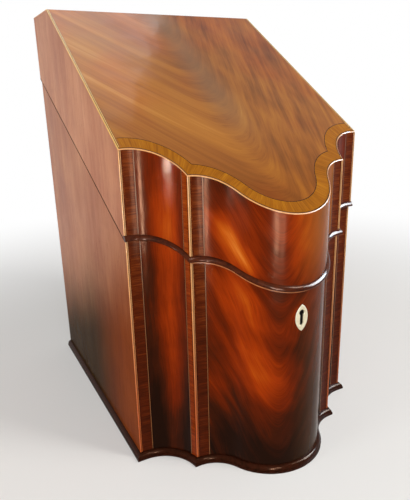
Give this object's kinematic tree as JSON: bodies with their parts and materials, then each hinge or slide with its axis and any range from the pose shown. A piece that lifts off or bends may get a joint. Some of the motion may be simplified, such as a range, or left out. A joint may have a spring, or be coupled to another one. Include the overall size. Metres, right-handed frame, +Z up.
{
  "type": "knife box",
  "caption": "Serpentine-fronted wooden knife box: a veneered case with a stepped rack, a hinged sloping lid, inlaid lines, a bone escutcheon and a box lock.",
  "frame": {"origin": "on the ground plane under the centre of the whole box, base moulding and hinge barrels included", "axes": "+Z up, -Y towards the serpentine front, +X to the right seen from the front"},
  "size_m": [0.227, 0.3226, 0.376],
  "materials": {
    "mahogany_veneer": "french-polished figured mahogany veneer",
    "mahogany": "polished plain mahogany",
    "pine": "bare planed pine",
    "boxwood_line": "polished boxwood and ebony line",
    "dark_wood": "polished dark hardwood",
    "brass": "aged brass",
    "bone": "polished bone",
    "baize": "wool baize"
  },
  "bodies": {
    "case": {"case_left_cove_veneer": "mahogany_veneer", "case_bow_veneer": "mahogany_veneer", "case_right_cove_veneer": "mahogany_veneer", "case_left_side": "mahogany", "case_right_side": "mahogany", "case_back": "mahogany", "rack_step_1": "mahogany", "rack_step_2": "mahogany", "rack_step_3": "mahogany", "rack_step_4": "mahogany", "rack_step_5": "mahogany", "rack_step_6": "mahogany", "rack_step_7": "mahogany", "case_bottom": "pine", "case_front": "pine", "rack_left_string": "pine", "rack_right_string": "pine", "rack_rail": "pine", "case_left_corner_line": "boxwood_line", "case_left_arris_line": "boxwood_line", "case_right_corner_line": "boxwood_line", "case_right_arris_line": "boxwood_line", "base_moulding_front": "dark_wood", "base_moulding_left": "dark_wood", "base_moulding_right": "dark_wood", "lock_case": "brass", "lock_cap": "brass", "lock_pin": "brass", "case_hinge_leaf_left": "brass", "case_hinge_leaf_right": "brass", "hinge_pin_left": "brass", "hinge_pin_right": "brass", "escutcheon": "bone", "base_lining": "baize"},
    "lid": {"lid_top_veneer": "mahogany_veneer", "lid_crown_veneer": "mahogany_veneer", "lid_left_cove_veneer": "mahogany_veneer", "lid_bow_veneer": "mahogany_veneer", "lid_right_cove_veneer": "mahogany_veneer", "lid_left_side": "mahogany", "lid_right_side": "mahogany", "lid_back": "mahogany", "lid_top": "pine", "lid_crown": "pine", "lid_front": "pine", "lid_left_corner_line": "boxwood_line", "lid_left_arris_line": "boxwood_line", "lid_right_corner_line": "boxwood_line", "lid_right_arris_line": "boxwood_line", "lid_left_edge_line": "boxwood_line", "lid_right_edge_line": "boxwood_line", "lid_front_edge_line": "boxwood_line", "lid_bead": "dark_wood", "lid_hinge_leaf_left": "brass", "lid_hinge_leaf_right": "brass", "link_plate": "brass"},
    "lock_bolt": {"lock_bolt": "brass"}
  },
  "joints": [
    {"name": "lid_hinge", "type": "hinge", "parent": "case", "child": "lid", "pos_m": [0, 0.1589, 0.31655], "axis": [-1, 0, 0], "range_deg": [0, 100]},
    {"name": "bolt_slide", "type": "slide", "parent": "case", "child": "lock_bolt", "axis": [1, 0, 0], "range_m": [0, 0.005]}
  ]
}
